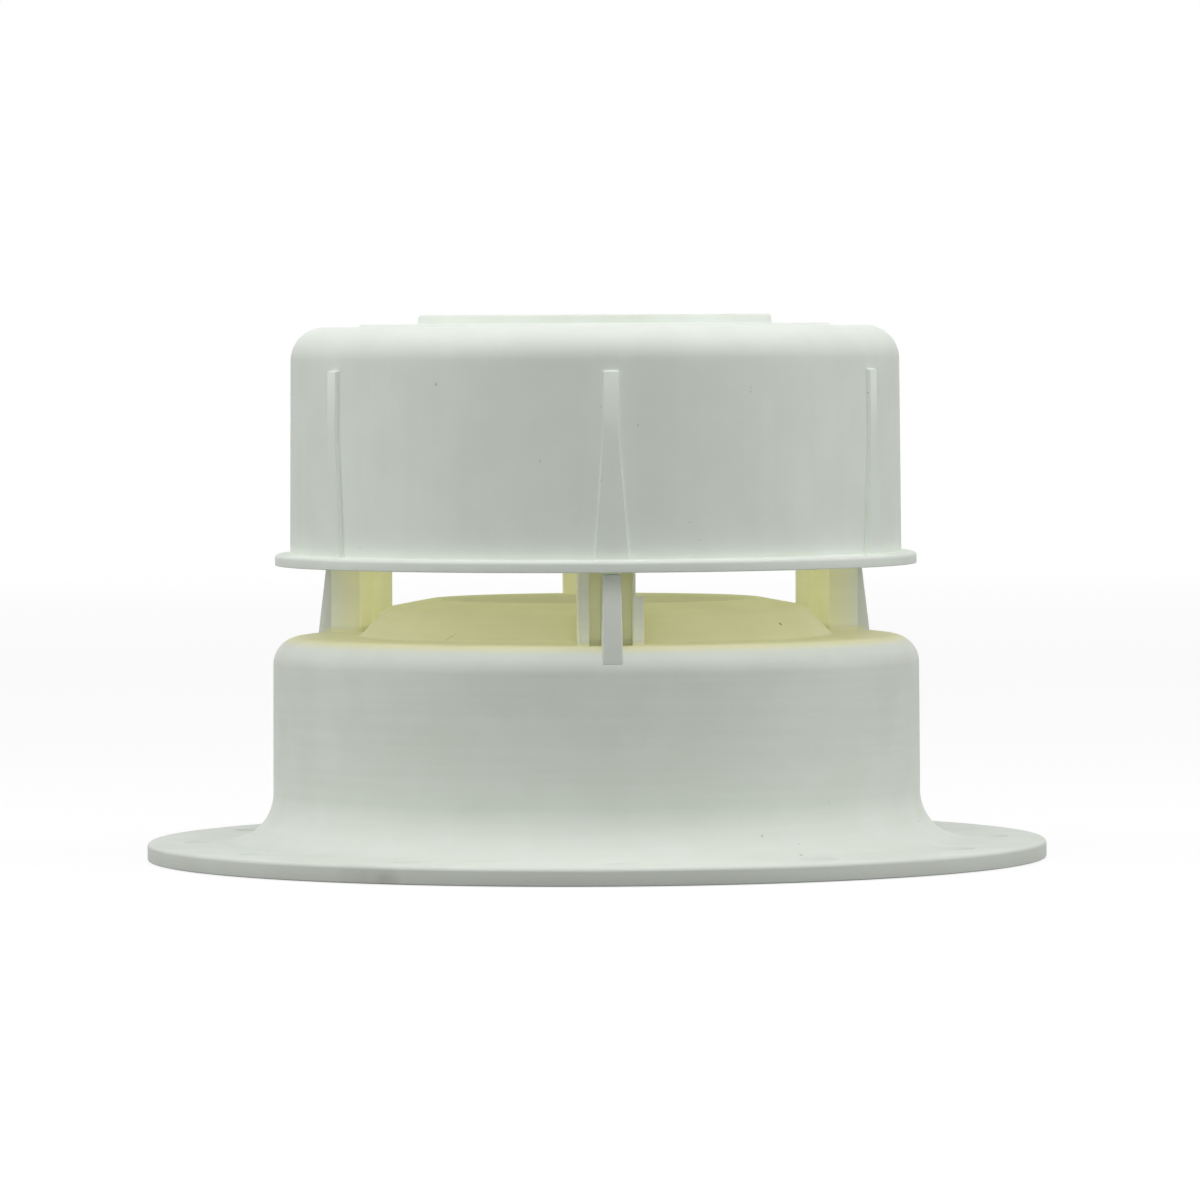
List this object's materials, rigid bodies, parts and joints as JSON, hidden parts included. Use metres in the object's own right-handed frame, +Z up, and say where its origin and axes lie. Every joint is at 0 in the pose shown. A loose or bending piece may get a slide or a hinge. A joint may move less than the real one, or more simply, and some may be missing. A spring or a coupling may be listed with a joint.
{
  "type": "rv tank vent cap",
  "caption": "Round white plastic roof vent for a holding tank's pipe: a screw-down flanged base with a raised collar and legs, and a domed cap that lifts off.",
  "frame": {"origin": "centre of the flange's flat underside, on the axis of the pipe opening", "axes": "+Z up along the pipe's axis, -Y towards the side with the front leg, +X to the right of it"},
  "size_m": [0.178, 0.178, 0.1074],
  "materials": {
    "base_plastic": "moulded, satin",
    "cap_plastic": "moulded, satin"
  },
  "bodies": {
    "base": {"vent_base": "base_plastic"},
    "cap": {"vent_cap": "cap_plastic"}
  },
  "joints": [
    {"name": "cap_lift", "type": "slide", "parent": "base", "child": "cap", "axis": [0, 0, 1], "range_m": [0, 0.03]}
  ]
}
